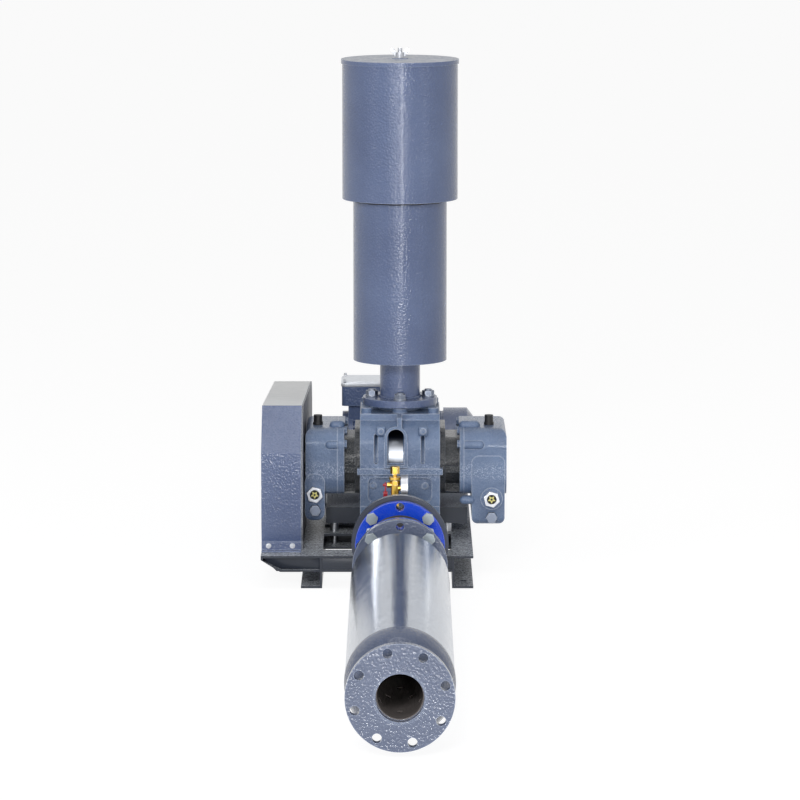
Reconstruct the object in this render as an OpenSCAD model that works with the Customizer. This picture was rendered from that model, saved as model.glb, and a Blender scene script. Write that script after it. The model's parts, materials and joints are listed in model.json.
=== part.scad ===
/* [Base] */
// Length of the two rails
base_len = 1060; // [1020:10:1200]
// Width over the two rails
base_w = 374; // [370:1:390]
// Height of the rails
rail_h = 71; // [66:1:71]
// Width of a rail's flanges
rail_flange = 46; // [42:1:52]
// Wall of the rails and beams
rail_wall = 5; // [4:0.5:6]
// Height of the cross beams
beam_h = 35; // [30:1:45]
// Depth of the cross beams
beam_d = 75; // [60:1:80]
// Diameter of the holes for the floor bolts
floor_hole_d = 14; // [10:1:16]

/* [Blower] */
// Height of the rotor shafts above the floor
shaft_z = 240; // [240:1:250]
// Distance between the two rotor shafts
rotor_spacing = 96; // [90:1:98]
// Length of the rotor chamber
chamber_len = 176; // [170:1:190]
// Gap between a rotor and whatever it runs past
rotor_gap = 0.2; // [0.2:0.05:0.4]
// Diameter of the rotor shafts in the rotors
shaft_d = 36; // [32:1:38]
// Number of teeth on a timing gear
gear_teeth = 32; // [24:2:40]
// Width of a timing gear
gear_w = 26; // [18:1:30]
// Diameter over the end covers' sight glasses
sight_d = 34; // [30:1:36]

/* [Belt drive] */
// Pitch diameter of the blower pulley
blower_pulley_d = 224; // [200:2:230]
// Pitch diameter of the motor pulley
motor_pulley_d = 140; // [120:2:150]
// Distance from the inlet axis back to the motor shaft
motor_y = 470; // [460:5:490]
// Height of the motor shaft above the floor
motor_z = 177; // [174:1:180]
// Width of the belt guard
guard_w = 90; // [86:1:96]
// Sheet thickness of the belt guard
guard_wall = 2.5; // [1.5:0.5:3]

/* [Inlet] */
// Outer diameter of the inlet and discharge pipe
pipe_d = 89; // [84:1:92]
// Wall of the pipes
pipe_wall = 3.5; // [2.5:0.5:5]
// Outer diameter of the inlet silencer
inlet_silencer_d = 207; // [190:1:215]
// Outer diameter of the filter housing
filter_d = 255; // [245:1:275]
// Height of the underside of the inlet flange
inlet_z = 360; // [360:1:362]
// Height of the bottom of the inlet silencer
inlet_silencer_z = 459; // [450:1:480]
// Height of the bottom of the filter housing
filter_z = 818; // [780:1:850]
// Height of the top edge of the filter housing
filter_top_z = 1124; // [1100:1:1200]

/* [Discharge] */
// Height of the discharge axis above the floor
discharge_z = 111; // [110:1:112]
// Outer diameter of the short pipe out of the blower
stub_d = 76; // [70:1:76]
// Outer diameter of the discharge silencer
silencer_d = 203; // [180:1:210]
// Outer diameter of the discharge flange
flange_d = 200; // [194:1:210]
// Thickness of the discharge flange
flange_t = 18; // [14:1:22]
// Diameter of the bolt circle in the discharge flange
flange_pcd = 170; // [160:1:172]
// Diameter of the bolt holes in the discharge flange
flange_hole_d = 18; // [14:1:19]
// Number of bolt holes in the discharge flange
flange_holes = 8; // [4:1:12]

/* [Hidden] */

// Smooth circles, and hexagons for bolt heads
$fn = 64;
hexagon = 6;
// Play of a shaft in its bearing, of a bolt in its hole and of parts that pass each other
fit = 0.05;
bolt_play = 0.3;
pass_gap = 0.3;

// The blower stands a little right of the middle of the base, and towards its front
blower_y = -225;

// Rails and beams
rail_web_x = base_w / 2 - rail_flange;
floor_hole_x = base_w / 2 - rail_flange / 2 + rail_wall / 2;
floor_hole_y = base_len / 2 - 60;
front_beam_y = -base_len / 2;
middle_beam_y = blower_y - 36;
support_beam_y = blower_y + 80;
rear_beam_y = base_len / 2 - 150;
beam_ys = [front_beam_y, middle_beam_y, support_beam_y, rear_beam_y];

// Blower feet and their studs
foot_bottom_z = rail_h + 24;
foot_h = 36;
foot_y0 = -36;
foot_y1 = 150;
foot_wall = 8;
stud_ys = [0, 118];
stud_right_x = 106;
stud_right_inset = 7;
stud_left_inset = 22;
blower_x = rail_web_x - stud_right_inset - stud_right_x;
stud_left_x = stud_left_inset - rail_web_x - blower_x;
foot_past_left = 18;
foot_past_right = 44;
stud_d = 10;

// Rotors: cycloidal lobes on pitch circles that touch halfway
lobes = 3;
pitch_r = rotor_spacing / 2;
roll_r = pitch_r / (2 * lobes);
tip_r = pitch_r + 2 * roll_r;
bore_r = tip_r + rotor_gap;
rotor_len = chamber_len - 2 * pass_gap;
arc_step = 60 / 15;

// Casing, side plates and covers, measured along the shafts from the middle
casing_half = chamber_len / 2;
casing_wall = 12;
casing_front = pitch_r + tip_r + 24;
casing_top_z = 336;
casing_bottom_z = 150;
ledge_z = 222;
ledge_h = 13;
plate_t = 12;
plate_r = 74;
gear_flange_x = 132;
gear_cover_x = 141;
gear_end_x = 235;
drive_flange_x = -123;
drive_cover_x = -138;
drive_end_x = -208;
cover_flange_t = 13;
cover_front = 118;
cover_bottom_z = 170;
cover_top_z = 318;
cover_wall = 8;
sump_bottom_z = 107;
drive_sump_z = 115;
cover_bolt_d = 10;

// Bearings and seals
bearing_d = 72;
bearing_w = 17;
seal_w = 8;
seal_d = 52;
gear_bearing_x = 114;
drive_bearing_x = -121;

// Timing gears
gear_module = rotor_spacing / gear_teeth;
gear_x = 160;
gear_tip_r = pitch_r + gear_module * 0.95;
gear_root_r = pitch_r - gear_module * 1.2;
gear_backlash = 0.25;

// Belt drive: two belts side by side
belt_count = 2;
belt_pitch = 19;
belt_h = 10;
belt_top = 3.5;
belt_high_half = 6.8;
belt_low_half = 5.1;
pulley_edge = 12.5;
pulley_w = (belt_count - 1) * belt_pitch + 2 * pulley_edge;
pulley_x = -268;
guard_x = -302;
guard_back_x = guard_x + guard_w;
pulley_bore_d = 28;

// Motor
motor_r = 92;
motor_x0 = -120;
motor_x1 = 105;
shield_x = -178;
fin_h = 12;
fin_t = 3.2;
motor_shaft_d = 28;
slide_plate_t = 6;
foot_z = rail_h + slide_plate_t;
cowl_r = 100;
cowl_wall = 2;
cowl_x1 = 170;
box_x0 = -135;
box_x1 = -15;
box_neck_top_z = 290;
box_top_z = 347;
box_lid_t = 12;
gland_d = 26;
fin_count = 28;
motor_feet_x = [-76, 64];
motor_foot_y = 80;
slide_plate_half = 150;
slide_plate_seat = 25;
slide_slot = 40;

// Inlet flange
inlet_flange_d = 165;
inlet_flange_t = 16;
inlet_pcd = 125;
inlet_bolt_d = 16;
gasket_t = 2;
lid_z = filter_top_z + pass_gap;
lid_d = filter_d + 5;
lid_skirt = 8;
rod_d = 10;
rod_top_z = filter_top_z + 26;

// Discharge line, as distances in front of the inlet axis
stub_past_base = 65;
stub_flange_y = front_beam_y - blower_y - stub_past_base;
joint_len = 270;
silencer_neck_len = 161;
silencer_len = 947;
silencer_head_len = 144;
silencer_rear_y = stub_flange_y - joint_len;
silencer_body_y = silencer_rear_y - silencer_neck_len;
silencer_ring_y = silencer_body_y - silencer_len;
silencer_front_y = silencer_ring_y - silencer_head_len;
stub_flange_d = 209;
joint_flange_d = 193;
joint_flange_t = 18;
joint_lip = 14;
joint_back_y = stub_flange_y - joint_lip - joint_flange_t;
joint_front_y = silencer_rear_y + flange_t + joint_lip + joint_flange_t;
joint_bolt_d = 16;
joint_hole_d = joint_bolt_d + 1.5;
front_start = 15.5;
front_neck = 34;
front_collar = 4;

// Gauge and its cock
cock_y = stub_flange_y + 90;
cock_x = -11;
gauge_x = 2;
gauge_z = 216;
gauge_d = 58;
gauge_t = 15;
lever_pivot_z = 223;
needle_rest = 130;

// Places
module at_blower() translate([blower_x, blower_y, 0]) children();
module at_motor() translate([blower_x, blower_y + motor_y, motor_z]) children();
module at_shafts() for (s = [-1, 1]) translate([0, s * pitch_r, shaft_z]) children();

// A flat outline in Y and Z, drawn out along X, and one in X and Z, drawn out along Y
module along_x(x0, x1) translate([x0, 0, 0]) rotate([90, 0, 90]) linear_extrude(x1 - x0) children();
module along_y(y0, y1) translate([0, y1, 0]) rotate([90, 0, 0]) linear_extrude(y1 - y0) children();
module x_rod(x0, x1, d) translate([x0, 0, 0]) rotate([0, 90, 0]) cylinder(h = x1 - x0, d = d);
module y_rod(y0, y1, d) translate([0, y1, 0]) rotate([90, 0, 0]) cylinder(h = y1 - y0, d = d);
module z_rod(z0, z1, d) translate([0, 0, z0]) cylinder(h = z1 - z0, d = d);
module y_pipe(y0, y1, d, wall) along_y(y0, y1) difference() {
  circle(d = d);
  circle(d = d - 2 * wall);
}
module z_pipe(z0, z1, d, wall) translate([0, 0, z0]) linear_extrude(z1 - z0) difference() {
  circle(d = d);
  circle(d = d - 2 * wall);
}
module block(x0, x1, y0, y1, z0, z1) translate([x0, y0, z0]) cube([x1 - x0, y1 - y0, z1 - z0]);

// A rectangle from corner to corner with round corners
module round_rect(x0, x1, y0, y1, r) {
  translate([x0 + r, y0]) square([x1 - x0 - 2 * r, y1 - y0]);
  translate([x0, y0 + r]) square([x1 - x0, y1 - y0 - 2 * r]);
  for (x = [x0 + r, x1 - r], y = [y0 + r, y1 - r]) translate([x, y]) circle(r);
}

// Two circles round the shafts, joined by straight sides
module shaft_outline(r) {
  for (s = [-1, 1]) translate([s * pitch_r, shaft_z]) circle(r);
  translate([-pitch_r, shaft_z - r]) square([rotor_spacing, 2 * r]);
}
module ring_of(count, pcd, start = 0) {
  for (i = [0 : count - 1]) rotate(start + i * 360 / count) translate([pcd / 2, 0]) children();
}

// Base
module rail_outline() {
  difference() {
    translate([rail_web_x, 0]) square([rail_flange, rail_h]);
    translate([rail_web_x + rail_wall, rail_wall]) square([rail_flange, rail_h - 2 * rail_wall]);
  }
}
module rail() {
  difference() {
    along_y(-base_len / 2, base_len / 2) rail_outline();
    for (y = [-floor_hole_y, floor_hole_y])
      translate([floor_hole_x, y, 0]) z_rod(-1, rail_wall + 1, floor_hole_d);
  }
}
module left_rail() color("dimgray") mirror([1, 0, 0]) rail();
module right_rail() color("dimgray") rail();

// A beam that is open to the front: web behind, flanges above and below
module channel(x0, x1, y) {
  difference() {
    block(x0, x1, y, y + beam_d, rail_h - beam_h, rail_h);
    block(x0 - 1, x1 + 1, y - 1, y + beam_d - rail_wall, rail_h - beam_h + rail_wall, rail_h - rail_wall);
  }
}
module cross_beams() color("dimgray") {
  difference() {
    for (y = beam_ys) channel(-rail_web_x, rail_web_x, y);
    at_blower() at_studs() z_rod(rail_h - beam_h - 1, rail_h + 1, stud_d + 2 * bolt_play);
  }
  for (y = [front_beam_y, rear_beam_y]) outrigger(y);
}
module outrigger_outline(inset) {
  guard_edge = guard_x + blower_x;
  top = rail_h - inset;
  bottom = rail_h - beam_h + inset;
  polygon([
    [guard_edge + inset, top], [-base_w / 2, top], [-base_w / 2, bottom],
    [guard_edge + 42 + inset / 2, bottom], [guard_edge + inset, rail_h - 9 - inset / 2]
  ]);
}
module outrigger(y) difference() {
  along_y(y, y + beam_d) outrigger_outline(0);
  along_y(y - 1, y + beam_d - rail_wall) outrigger_outline(rail_wall);
  block(-base_w / 2 - rail_wall - 1, -base_w / 2 + 1, y - 1, y + beam_d - rail_wall,
    rail_h - beam_h + rail_wall, rail_h - rail_wall);
}

module motor_bolt_places() for (x = motor_feet_x, y = [-motor_foot_y, motor_foot_y])
  translate([x, y]) children();
module motor_slide_plate() color("dimgray") at_blower() translate([0, motor_y, rail_h])
  linear_extrude(slide_plate_t) difference() {
    round_rect(-rail_web_x - slide_plate_seat - blower_x, rail_web_x + slide_plate_seat - blower_x,
      -slide_plate_half, slide_plate_half, 12);
    motor_bolt_places() slot_outline(slide_slot, 11);
  }
module slot_outline(len, d) {
  square([d, len - d], center = true);
  for (s = [-1, 1]) translate([0, s * (len - d) / 2]) circle(d = d);
}

// Blower feet: an angle bracket on each side of the discharge box, on levelling studs
module foot_outline(x_in, x_out) {
  wall = foot_wall;
  difference() {
    polygon([[x_in, foot_bottom_z], [x_out, foot_bottom_z], [x_out, foot_bottom_z + foot_h],
      [x_in, foot_bottom_z + foot_h]]);
    translate([min(x_in, x_out) + wall, foot_bottom_z + wall])
      square([abs(x_out - x_in) - 2 * wall, foot_h - 2 * wall]);
  }
}
module at_studs() for (x = [stud_left_x, stud_right_x], y = stud_ys) translate([x, y, 0]) children();
module blower_feet() color("dimgray") at_blower() difference() {
  for (e = [[stud_left_x - foot_past_left, -casing_half], [casing_half, stud_right_x + foot_past_right]]) {
    along_y(foot_y0, foot_y1) foot_outline(e[0], e[1]);
    block(e[0], e[1], foot_y0, foot_y0 + 8, foot_bottom_z + 1, foot_bottom_z + foot_h - 1);
  }
  at_studs() z_rod(foot_bottom_z - 1, foot_bottom_z + 20, stud_d + 2 * bolt_play);
}
module levelling_studs() color("silver") at_blower() at_studs() {
  z_rod(rail_h - beam_h + 2, foot_bottom_z + foot_wall + 18, stud_d);
  z_rod(rail_h, foot_bottom_z, stud_d + 8);
  translate([0, 0, foot_bottom_z + foot_wall]) cylinder(h = stud_d - 4, d = 1.9 * stud_d, $fn = hexagon);
}

// Discharge box: turns the flow from straight down to the front
box_bottom_z = rail_h + 2;
box_back = 70;
module discharge_box() color("slategray") at_blower() difference() {
  block(-casing_half, casing_half, -casing_front, box_back, box_bottom_z, casing_bottom_z);
  block(-70, 70, -casing_front + 12, box_back - 10, box_bottom_z + 5, casing_bottom_z - 8);
  block(-60, 60, -44, 44, casing_bottom_z - 9, casing_bottom_z + 1);
  translate([0, 0, discharge_z]) y_rod(-casing_front - 1, -casing_front + 13, stub_d - 2 * pipe_wall);
}

// Rotor casing
module casing_outline() {
  r = 60;
  half = casing_front;
  translate([-half, casing_bottom_z]) square([2 * half, casing_top_z - r - casing_bottom_z]);
  translate([-half + r, casing_bottom_z]) square([2 * (half - r), casing_top_z - casing_bottom_z]);
  for (s = [-1, 1]) translate([s * (half - r), casing_top_z - r]) circle(r);
}
window_x = -9;
window_w = 38;
window_z0 = 243;
window_z1 = 304;
module window_outline(grow) {
  w = window_w + 2 * grow;
  translate([window_x - w / 2, window_z0 - grow]) square([w, window_z1 - window_z0 + grow]);
  translate([window_x, window_z1]) circle(d = w);
}
module rotor_casing() color("slategray") at_blower() difference() {
  union() {
    along_x(-casing_half, casing_half) casing_outline();
    block(-casing_half, casing_half, -88, 88, casing_top_z - 20, casing_top_z + 13);
    for (x = [-74, 74], y = [-74, 74]) translate([x, y, 0]) z_rod(casing_top_z, inlet_z + 1, 24);
    z_rod(casing_top_z, inlet_z - gasket_t, pipe_d + 4);
    for (a = [0 : 90 : 270]) rotate(a) translate([inlet_pcd / 2, 0, 0])
      z_rod(casing_top_z, inlet_z - gasket_t, 34);
    along_x(-casing_half - 6, casing_half + 6) translate([-casing_front - 8, ledge_z])
      square([2 * casing_front + 16, ledge_h]);
    along_y(-casing_front - 6, -casing_front + 2) window_outline(6);
    block(window_x + 3, window_x + 13, -casing_front - 6, -60, window_z1 + window_w / 2 + 2, casing_top_z + 13);
  }
  // rotor chamber
  along_x(-casing_half - 7, casing_half + 7) for (s = [-1, 1])
    translate([s * pitch_r, shaft_z]) circle(bore_r);
  // ends of the ledge stop short of the side plates
  for (s = [-1, 1]) along_x(s > 0 ? casing_half : -casing_half - 7, s > 0 ? casing_half + 7 : -casing_half)
    shaft_outline(plate_r + 1);
  // ports above and below
  translate([0, 0, shaft_z]) z_rod(0, 130, pipe_d - 2 * pipe_wall);
  block(-62, 62, -38, 38, shaft_z + 20, casing_top_z - 14);
  block(-62, 62, -44, 44, casing_bottom_z - 1, shaft_z - 20);
  // window in front, down to the round wall of the chamber
  difference() {
    along_y(-casing_front - 20, -20) window_outline(0);
    along_x(-casing_half, casing_half) shaft_outline(bore_r + casing_wall);
  }
  // upright grooves in front and behind
  for (x = [-53, 50], s = [-1, 1]) translate([x, 0, 0]) difference() {
    along_y(min(s * casing_front * 2, s * 20), max(s * casing_front * 2, s * 20))
      round_rect(-4, 4, ledge_z + ledge_h + 10, casing_top_z - 26, 3.9);
    along_x(-10, 10) shaft_outline(bore_r + casing_wall);
  }
  // sunk panel below the ledge
  along_y(-casing_front - 1, -casing_front + 10) round_rect(-70, 70, casing_bottom_z + 10, ledge_z - 8, 12);
  // flange bolts
  for (a = [0 : 90 : 270]) rotate(a) translate([inlet_pcd / 2, 0, 0])
    z_rod(inlet_z - 24, inlet_z + 2, inlet_bolt_d + 2 * bolt_play);
}

// A bare plate bent round the chamber wall inside the casing window
module name_plate() color("silver") at_blower() intersection() {
  along_x(window_x - window_w / 2 + 3, window_x + window_w / 2 - 3) difference() {
    translate([-pitch_r, shaft_z]) circle(bore_r + casing_wall + 1);
    translate([-pitch_r, shaft_z]) circle(bore_r + casing_wall);
  }
  along_y(-casing_front, -60) window_outline(-3);
}

// Side plates close the chamber and carry the bearings and the flange for the end cover
module cover_outline(grow = 0) round_rect(-cover_front - grow, cover_front + grow,
  cover_bottom_z - grow, cover_top_z + grow, 40 + grow);
module cover_bolt_places() {
  for (y = [-cover_front + 14, cover_front - 14], z = [284, shaft_z - 22]) translate([y, z]) children();
  for (y = [-66, 66], z = [cover_top_z - 10, cover_bottom_z + 10]) translate([y, z]) children();
}
module side_plate(inner, neck, flange, outer, bearing_x, seal_x) {
  difference() {
    union() {
      along_x(min(inner, neck), max(inner, neck)) shaft_outline(plate_r);
      along_x(min(neck, flange), max(neck, flange)) shaft_outline(52);
      along_x(min(neck, flange), max(neck, flange)) translate([-cover_front + 6, ledge_z])
        square([2 * cover_front - 12, 14]);
      along_x(min(neck, flange), max(neck, flange)) translate([-60, cover_bottom_z])
        square([120, 50]);
      along_x(min(flange, outer), max(flange, outer)) cover_outline();
    }
    at_shafts() {
      x_rod(min(inner, outer) - 1, max(inner, outer) + 1, shaft_d + 4);
      x_rod(bearing_x, bearing_x + bearing_w, bearing_d);
      x_rod(seal_x, seal_x + seal_w, seal_d);
    }
    bearing_mouth(bearing_x, outer);
    along_x(min(flange, outer) - 1, max(flange, outer) + 1) cover_bolt_places() circle(d = cover_bolt_d + 2 * bolt_play);
  }
}
// Opens a bearing's seat towards its end cover
module bearing_mouth(bearing_x, outer) at_shafts()
  x_rod(min(bearing_x, outer) - (outer < 0 ? 1 : 0), max(bearing_x, outer) + (outer > 0 ? 1 : 0), bearing_d);
module drive_side_plate() color("slategray") at_blower()
  side_plate(-casing_half, -casing_half - plate_t, drive_flange_x, drive_cover_x,
    drive_bearing_x, -casing_half - 11);
module gear_side_plate() color("slategray") at_blower()
  side_plate(casing_half, casing_half + plate_t, gear_flange_x, gear_cover_x,
    gear_bearing_x, casing_half + 3);

// End covers: oil boxes with a sump that hangs lower at the front
sight_y = -cover_front;
gear_sight = [202, 165];
// middle of each boss round a cover bolt, in Y and Z
cover_bosses = [for (y = [-cover_front + 4, cover_front - 4]) [y, 284]];
drive_sight = [-188, 175];
module drive_end_cover() color("slategray") at_blower() difference() {
  union() {
    along_x(drive_cover_x - cover_flange_t, drive_cover_x) cover_outline();
    intersection() {
      along_x(drive_end_x, drive_cover_x - 1) cover_outline();
      along_y(-cover_front - 1, cover_front + 1) round_rect(drive_end_x, 0, 0, cover_top_z, 16);
    }
    for (b = cover_bosses) translate([0, b[0], b[1]]) {
      x_rod(-156, drive_cover_x, 19);
      translate([-156, 0, 0]) sphere(d = 19);
    }
    intersection() {
      along_y(-cover_front - 4, 20) round_rect(drive_end_x - 2, -166, drive_sump_z, 220, 20);
      along_x(drive_end_x - 2, -166) round_rect(-cover_front - 4, 20, drive_sump_z, 320, 12);
    }
  }
  along_x(drive_end_x + cover_wall, drive_cover_x + 1) shaft_outline(56);
  block(-194, -176, -cover_front + 12, -20, drive_sump_z + 10, shaft_z);
  translate([0, -pitch_r, shaft_z]) {
    x_rod(drive_end_x - 3, drive_end_x + 20, shaft_d + 4);
    x_rod(drive_end_x - 3, drive_end_x + 4, seal_d);
  }
  translate([drive_sight[0], 0, drive_sight[1]]) y_rod(-cover_front - 5, -cover_front + 13, 22);
  translate([-187, 0, 140]) y_rod(-cover_front - 5, -cover_front + 13, 14);
  translate([-182, -40, 0]) z_rod(cover_top_z - 40, cover_top_z + 1, 16);
  along_x(drive_cover_x - cover_flange_t - 1, drive_cover_x + 1) cover_bolt_places()
    circle(d = cover_bolt_d + 2 * bolt_play);
}
module gear_end_cover() color("slategray") at_blower() difference() {
  union() {
    along_x(gear_cover_x, gear_cover_x + cover_flange_t) cover_outline();
    intersection() {
      along_x(gear_cover_x + 1, gear_end_x) cover_outline();
      along_y(-cover_front - 1, cover_front + 1) round_rect(0, gear_end_x, 0, cover_top_z, 18);
    }
    intersection() {
      along_y(-cover_front - 2, 60) round_rect(158, gear_end_x - 4, sump_bottom_z, 260, 16);
      along_x(158, gear_end_x - 4) round_rect(-cover_front - 2, 60, sump_bottom_z, 320, 14);
    }
    translate([gear_sight[0], 0, gear_sight[1]]) y_rod(-cover_front - 6, -cover_front, 48);
    for (b = cover_bosses) translate([0, b[0], b[1]]) {
      x_rod(gear_cover_x, 176, 20);
      translate([176, 0, 0]) sphere(d = 20);
    }
  }
  along_x(gear_cover_x - 1, gear_end_x - cover_wall) shaft_outline(56);
  block(168, gear_end_x - 14, -cover_front + 12, 40, sump_bottom_z + 10, shaft_z);
  translate([gear_sight[0], 0, gear_sight[1]]) y_rod(-cover_front - 7, -cover_front + 13, 22);
  translate([gear_sight[0], 0, 124]) y_rod(-cover_front - 5, -cover_front + 13, 14);
  translate([197, -40, 0]) z_rod(cover_top_z - 40, cover_top_z + 1, 16);
  along_x(gear_cover_x - 1, gear_cover_x + cover_flange_t + 1) cover_bolt_places()
    circle(d = cover_bolt_d + 2 * bolt_play);
}
module hex_bolt_x(x, dir, len, d) {
  translate([x, 0, 0]) rotate([0, 90 * dir, 0]) cylinder(h = 0.6 * d, d = 1.9 * d, $fn = hexagon);
  translate([x, 0, 0]) rotate([0, -90 * dir, 0]) cylinder(h = len, d = d);
}
module cover_bolts() color("slategray") at_blower() {
  upper_bolt_places() hex_bolt_x(gear_flange_x, -1, gear_cover_x + cover_flange_t - gear_flange_x - 2, cover_bolt_d);
  upper_bolt_places() hex_bolt_x(drive_flange_x, 1, drive_flange_x - drive_cover_x + cover_flange_t - 2, cover_bolt_d);
}
module upper_bolt_places() {
  for (y = [-cover_front + 14, cover_front - 14], z = [284]) translate([0, y, z]) children();
  for (y = [-66, 66], z = [cover_top_z - 10]) translate([0, y, z]) children();
}
module oil_filler_plugs() color("black") at_blower() for (x = [-182, 197]) translate([x, -40, 0]) {
  z_rod(cover_top_z - 6, cover_top_z, 15);
  z_rod(cover_top_z, cover_top_z + 6, 22);
  translate([0, 0, cover_top_z + 6]) cylinder(h = 16, d = 19, $fn = 12);
}
module oil_drain_plugs() color("slategray") at_blower()
  for (p = [[-187, 140, 4], [gear_sight[0], 124, 2]]) translate([p[0], -cover_front - p[2], p[1]]) {
    y_rod(0, 12, 13);
    rotate([90, 0, 0]) cylinder(h = 12, d = 26, $fn = hexagon);
  }
module sight_glass_bodies() color("silver") at_blower()
  for (p = [[drive_sight, 4], [gear_sight, 6]]) translate([p[0][0], -cover_front - p[1], p[0][1]])
    difference() {
      union() {
        y_rod(0, 12, 21);
        rotate([90, 15, 0]) cylinder(h = 10, d = sight_d + 3, $fn = hexagon);
      }
      y_rod(-11, -3, sight_d * 0.62);
      y_rod(-4, 13, 12);
    }
module sight_lenses() color("khaki") at_blower()
  for (p = [[drive_sight, 4], [gear_sight, 6]]) translate([p[0][0], -cover_front - p[1], p[0][1]])
    y_rod(-8, -3, sight_d * 0.62 - 0.2);

module shaft_bearings() color("silver") at_blower() at_shafts()
  for (x = [gear_bearing_x, drive_bearing_x]) difference() {
    x_rod(x + 0.5, x + bearing_w - 0.5, bearing_d - 0.1);
    x_rod(x - 1, x + bearing_w + 1, shaft_d - 1 + 2 * fit);
  }
module shaft_seals() color("black") at_blower() {
  at_shafts() for (x = [casing_half + 3, -casing_half - 11]) seal_at(x, shaft_d);
  translate([0, -pitch_r, shaft_z]) seal_at(drive_end_x - 3.5, shaft_d - 4);
}
module seal_at(x, d) difference() {
  x_rod(x + 0.2, x + seal_w - 0.8, seal_d - 0.1);
  x_rod(x - 1, x + seal_w + 1, d + 2 * fit);
}

// Shafts, stepped down at their ends
module drive_shaft() color("silver") at_blower() translate([0, -pitch_r, shaft_z]) {
  x_rod(-casing_half - 14, casing_half + 14, shaft_d);
  x_rod(drive_bearing_x - 4, gear_x + gear_w + 8, shaft_d - 1);
  x_rod(drive_end_x - 8, 0, shaft_d - 4);
  x_rod(pulley_x - 2, 0, pulley_bore_d - 2 * fit);
}
module driven_shaft() color("silver") at_blower() translate([0, pitch_r, shaft_z]) {
  x_rod(-casing_half - 14, casing_half + 14, shaft_d);
  x_rod(drive_bearing_x - 4, gear_x + gear_w + 8, shaft_d - 1);
}

// Lobe and valley of the rotor outline, each rolled by a small circle and drawn in by the gap
function turn(p, a) = [p[0] * cos(a) - p[1] * sin(a), p[0] * sin(a) + p[1] * cos(a)];
function lobe(t) = [
  (pitch_r + roll_r) * cos(t) - roll_r * cos(7 * t) - rotor_gap * sin(4 * t),
  (pitch_r + roll_r) * sin(t) - roll_r * sin(7 * t) + rotor_gap * cos(4 * t)
];
function valley(t) = [
  (pitch_r - roll_r) * cos(t) + roll_r * cos(5 * t) - rotor_gap * sin(2 * t),
  (pitch_r - roll_r) * sin(t) - roll_r * sin(5 * t) - rotor_gap * cos(2 * t)
];
rotor_points = [
  for (k = [0 : lobes - 1]) each [
    for (t = [0 : arc_step : 60 - arc_step]) turn(lobe(t), 120 * k - 30),
    for (t = [0 : arc_step : 60 - arc_step]) turn(valley(t), 120 * k + 30)
  ]
];
module rotor() translate([-rotor_len / 2, 0, 0]) rotate([90, 0, 90]) linear_extrude(rotor_len)
  difference() {
    polygon(rotor_points);
    circle(d = shaft_d + 2 * fit);
    for (a = [0, 120, 240]) rotate(a) translate([pitch_r * 0.84, 0]) circle(r = 9);
  }
module drive_rotor() color("silver") at_blower() translate([0, -pitch_r, shaft_z]) rotor();
module driven_rotor() color("silver") at_blower() translate([0, pitch_r, shaft_z]) rotor();

// Timing gears: flanks follow the unwinding of a string from the base circle
base_r = pitch_r * cos(20);
function unwind(r) = sqrt(r * r / (base_r * base_r) - 1) * 180 / PI - acos(base_r / r);
tooth_half = 90 / gear_teeth - gear_backlash / pitch_r * 180 / PI / 2;
flank_rs = [for (i = [0 : 4]) base_r + 0.2 + (gear_tip_r - base_r - 0.2) * i / 4];
function flank_angle(r) = tooth_half + unwind(pitch_r) - unwind(r);
module timing_gear(phase) difference() {
  rotate([90, 0, 90]) linear_extrude(gear_w) difference() {
    rotate(phase) polygon([
      for (k = [0 : gear_teeth - 1]) each let (c = k * 360 / gear_teeth) [
        gear_root_r * [cos(c - flank_angle(flank_rs[0])), sin(c - flank_angle(flank_rs[0]))],
        for (r = flank_rs) r * [cos(c - flank_angle(r)), sin(c - flank_angle(r))],
        for (i = [4 : -1 : 0]) flank_rs[i] * [cos(c + flank_angle(flank_rs[i])), sin(c + flank_angle(flank_rs[i]))],
        gear_root_r * [cos(c + flank_angle(flank_rs[0])), sin(c + flank_angle(flank_rs[0]))]
      ]
    ]);
    circle(d = shaft_d - 1 + 2 * fit);
  }
}
module drive_timing_gear() color("silver") at_blower() translate([gear_x, -pitch_r, shaft_z]) timing_gear(0);
module driven_timing_gear() color("silver") at_blower() translate([gear_x, pitch_r, shaft_z])
  timing_gear(180 + 180 / gear_teeth);

// A pulley with V grooves, turned about its shaft, with its belts' pitch line at the given diameter
module pulley(pitch_d, bore, web) rotate([0, 90, 0]) difference() {
  rotate_extrude() difference() {
    square([pitch_d / 2 + 3, pulley_w]);
    for (i = [0 : belt_count - 1]) translate([pitch_d / 2, pulley_edge + i * belt_pitch]) polygon([
      [4.1, -9], [-8.5, -4.7], [-8.5, 4.7], [4.1, 9]
    ]);
  }
  translate([0, 0, -1]) cylinder(h = pulley_w + 2, d = bore);
  translate([0, 0, -1]) linear_extrude(web + 1) difference() {
    circle(d = pitch_d - 44);
    circle(d = bore + 34);
  }
  translate([0, 0, pulley_w - web]) linear_extrude(web + 1) difference() {
    circle(d = pitch_d - 44);
    circle(d = bore + 34);
  }
}
module blower_pulley() color("dimgray") at_blower() translate([pulley_x, -pitch_r, shaft_z])
  pulley(blower_pulley_d, pulley_bore_d, 15);
module motor_pulley() color("dimgray") at_motor() translate([pulley_x, 0, 0])
  pulley(motor_pulley_d, pulley_bore_d, 15);

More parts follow.
